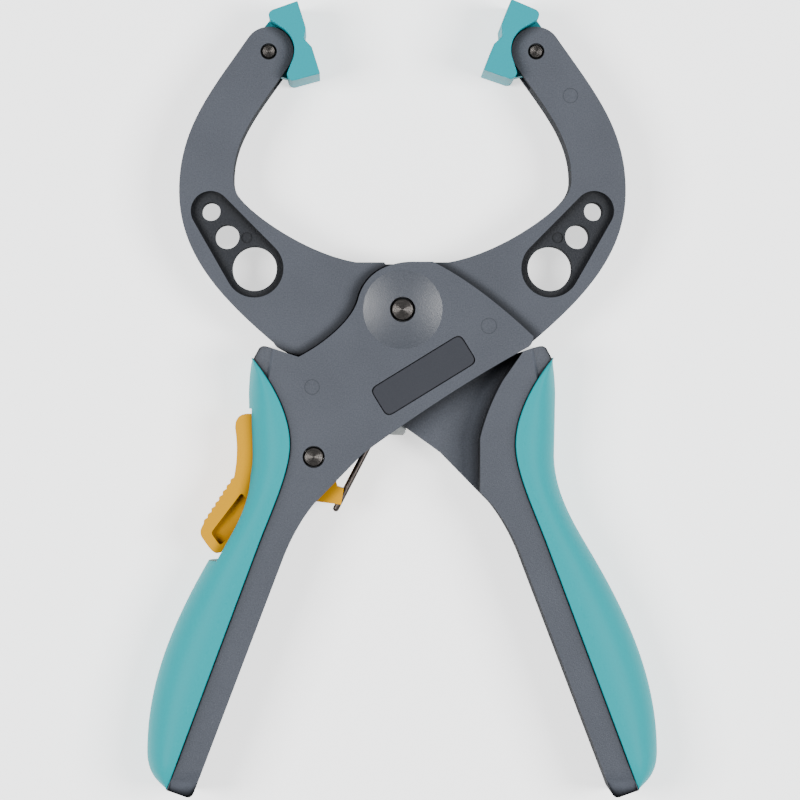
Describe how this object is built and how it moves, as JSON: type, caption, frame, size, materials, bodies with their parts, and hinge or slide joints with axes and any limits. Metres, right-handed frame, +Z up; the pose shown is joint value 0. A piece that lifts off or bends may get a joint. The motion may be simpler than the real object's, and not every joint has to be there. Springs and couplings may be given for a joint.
{
  "type": "ratchet spring clamp",
  "caption": "Hand-squeezed spring clamp with crossed levers, swivelling jaw pads, soft grips, a ratchet that holds it shut and a thumb lever that lets it go.",
  "frame": {"origin": "where the pivot's axis meets the flat surface that the clamp lies on", "axes": "+Y from the handles to the jaws, +X from the left jaw to the right jaw, +Z up through the thickness along the pivot's axis"},
  "size_m": [0.1556, 0.2414, 0.026],
  "materials": {
    "lever_plastic": "slate grey moulded plastic with a fine matte grain",
    "badge_plastic": "darker grey blank name plate, a little smoother than the lever",
    "grip_rubber": "soft teal overmoulded rubber, matte",
    "pad_rubber": "teal jaw pad, matte",
    "thumb_plastic": "amber yellow moulded plastic, satin",
    "dark_steel": "turned pin faces with rings",
    "bright_steel": "stamped and plated",
    "spring_steel": "oiled spring wire"
  },
  "bodies": {
    "front_arm": {"front_lever": "lever_plastic", "front_grip": "grip_rubber", "front_badge": "badge_plastic", "pivot_rivet": "dark_steel", "pivot_sleeve": "bright_steel", "opening_spring": "spring_steel", "thumb_pin": "dark_steel", "return_spring": "spring_steel", "right_pad_pin": "dark_steel"},
    "rear_arm": {"rear_lever": "lever_plastic", "rear_grip": "grip_rubber", "rear_badge": "badge_plastic", "ratchet_sector": "bright_steel", "sector_rivet_1": "dark_steel", "sector_rivet_2": "dark_steel", "left_pad_pin": "dark_steel"},
    "thumb": {"thumb_lever": "thumb_plastic", "pawl": "bright_steel", "pawl_pin_1": "dark_steel", "pawl_pin_2": "dark_steel"},
    "left_pad_body": {"left_pad": "pad_rubber"},
    "right_pad_body": {"right_pad": "pad_rubber"}
  },
  "joints": [
    {"name": "jaw_close", "type": "hinge", "parent": "front_arm", "child": "rear_arm", "pos_m": [0, 0, 0], "axis": [0, 0, -1], "range_deg": [0, 33], "stiffness_Nm_per_rad": 0.5, "springref_deg": -28.65, "deforming": ["opening_spring"]},
    {"name": "thumb_press", "type": "hinge", "parent": "front_arm", "child": "thumb", "pos_m": [-0.0269, -0.0446, 0], "axis": [0, 0, 1], "range_deg": [0, 8], "stiffness_Nm_per_rad": 0.06, "springref_deg": -14.32, "deforming": ["return_spring"]},
    {"name": "left_pad_swivel", "type": "hinge", "parent": "rear_arm", "child": "left_pad_body", "pos_m": [-0.0406, 0.0784, 0], "axis": [0, 0, 1], "range_deg": [-15, 15]},
    {"name": "right_pad_swivel", "type": "hinge", "parent": "front_arm", "child": "right_pad_body", "pos_m": [0.0406, 0.0784, 0], "axis": [0, 0, 1], "range_deg": [-15, 15]}
  ]
}
